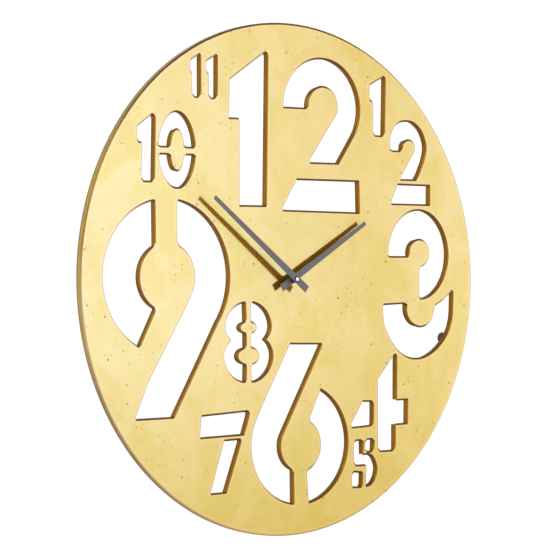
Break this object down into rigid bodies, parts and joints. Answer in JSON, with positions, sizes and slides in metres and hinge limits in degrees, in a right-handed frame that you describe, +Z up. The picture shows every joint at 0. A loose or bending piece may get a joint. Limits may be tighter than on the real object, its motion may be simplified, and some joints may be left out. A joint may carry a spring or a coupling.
{
  "type": "wall clock",
  "caption": "Large round wall clock: thin brass-faced dial with bold stencil-cut numerals, slim grey hands, and a quartz movement, wall bumpers and keyhole hanger behind.",
  "frame": {"origin": "on the hands' axis, in the wall plane that the three rubber bumpers touch", "axes": "+X right as seen from the front, +Y through the dial towards the wall, +Z up to 12 o'clock"},
  "size_m": [0.5999, 0.042, 0.6],
  "materials": {
    "fibreboard": "sealed fibreboard, cut edges varnished golden brown",
    "brass_sheet": "polished, lightly aged, with fine pits",
    "plated_steel": "zinc plated",
    "bumper_rubber": "matt",
    "gasket_rubber": "matt",
    "turned_brass": "turned",
    "case_plastic": "fine moulded texture",
    "plate_plastic": "moulded",
    "motor_iron": "stamped lamination",
    "bobbin_plastic": "moulded",
    "enamelled_copper": "enamelled wire",
    "board_laminate": "solder resist",
    "crystal_can": "drawn can",
    "chip_epoxy": "epoxy",
    "battery_jacket": "plain shrink jacket",
    "contact_spring": "nickel plated spring steel",
    "magnet": "sintered",
    "gear_plastic": "moulded acetal",
    "hub_black": "semi-gloss black",
    "hand_paint": "matt grey paint on aluminium",
    "polished_steel": "polished",
    "knob_plastic": "moulded, knurled"
  },
  "bodies": {
    "clock_frame": {"dial_core": "fibreboard", "brass_face": "brass_sheet", "brass_rim_band": "brass_sheet", "hanger_plate": "plated_steel", "hanger_screws": "plated_steel", "wall_bumpers": "bumper_rubber", "bumper_screws": "plated_steel", "movement_bracket": "plated_steel", "bracket_screws": "plated_steel", "case_gasket": "gasket_rubber", "threaded_bush": "turned_brass", "bush_washer": "plated_steel", "bush_nut": "turned_brass", "front_case": "case_plastic", "rear_cover": "case_plastic", "cover_screws": "plated_steel", "train_plate": "plate_plastic", "train_plate_screws": "plated_steel", "stator": "motor_iron", "coil_core": "motor_iron", "coil_bobbin": "bobbin_plastic", "coil_winding": "enamelled_copper", "circuit_board": "board_laminate", "quartz_crystal": "crystal_can", "timer_chip": "chip_epoxy", "battery": "battery_jacket", "battery_contact_plus": "contact_spring", "battery_contact_minus": "contact_spring"},
    "minute_assembly": {"minute_arbor": "turned_brass", "minute_hub": "hub_black", "minute_hand": "hand_paint", "minute_cap": "polished_steel"},
    "hour_assembly": {"hour_wheel": "gear_plastic", "hour_collet": "hub_black", "hour_hand": "hand_paint"},
    "setting_assembly": {"setting_wheel": "gear_plastic", "setting_knob": "knob_plastic"},
    "seconds_train": {"seconds_wheel": "gear_plastic"},
    "rotor": {"rotor_magnet": "magnet", "rotor_pinion": "gear_plastic"},
    "fifth_train": {"fifth_wheel": "gear_plastic"},
    "third_train": {"third_wheel": "gear_plastic"},
    "centre_train": {"centre_wheel": "gear_plastic"}
  },
  "joints": [
    {"name": "minute_turn", "type": "hinge", "parent": "clock_frame", "child": "minute_assembly", "pos_m": [0, -0.03, 0], "axis": [0, 1, 0], "continuous": true},
    {"name": "hour_turn", "type": "hinge", "parent": "clock_frame", "child": "hour_assembly", "pos_m": [0, -0.025, 0], "axis": [0, 1, 0], "continuous": true},
    {"name": "setting_turn", "type": "hinge", "parent": "clock_frame", "child": "setting_assembly", "pos_m": [0, -0.01, 0.012], "axis": [0, 1, 0], "continuous": true},
    {"name": "seconds_turn", "type": "hinge", "parent": "clock_frame", "child": "seconds_train", "pos_m": [0, -0.0086, 0], "axis": [0, 1, 0], "continuous": true},
    {"name": "rotor_turn", "type": "hinge", "parent": "clock_frame", "child": "rotor", "pos_m": [0.01475, -0.006, 0], "axis": [0, 1, 0], "continuous": true},
    {"name": "fifth_turn", "type": "hinge", "parent": "clock_frame", "child": "fifth_train", "pos_m": [0.00875, -0.0075, 0], "axis": [0, 1, 0], "continuous": true},
    {"name": "third_turn", "type": "hinge", "parent": "clock_frame", "child": "third_train", "pos_m": [-0.00884, -0.0095, 0], "axis": [0, 1, 0], "continuous": true},
    {"name": "centre_turn", "type": "hinge", "parent": "clock_frame", "child": "centre_train", "pos_m": [0, -0.0107, 0], "axis": [0, 1, 0], "continuous": true}
  ],
  "couplings": [
    {"joint": "hour_turn", "follows": "minute_turn", "ratio": 0.083333},
    {"joint": "setting_turn", "follows": "minute_turn", "ratio": -0.33333},
    {"joint": "rotor_turn", "follows": "seconds_turn", "ratio": 30},
    {"joint": "fifth_turn", "follows": "seconds_turn", "ratio": -6},
    {"joint": "third_turn", "follows": "seconds_turn", "ratio": -0.13333},
    {"joint": "centre_turn", "follows": "seconds_turn", "ratio": 0.016667}
  ]
}
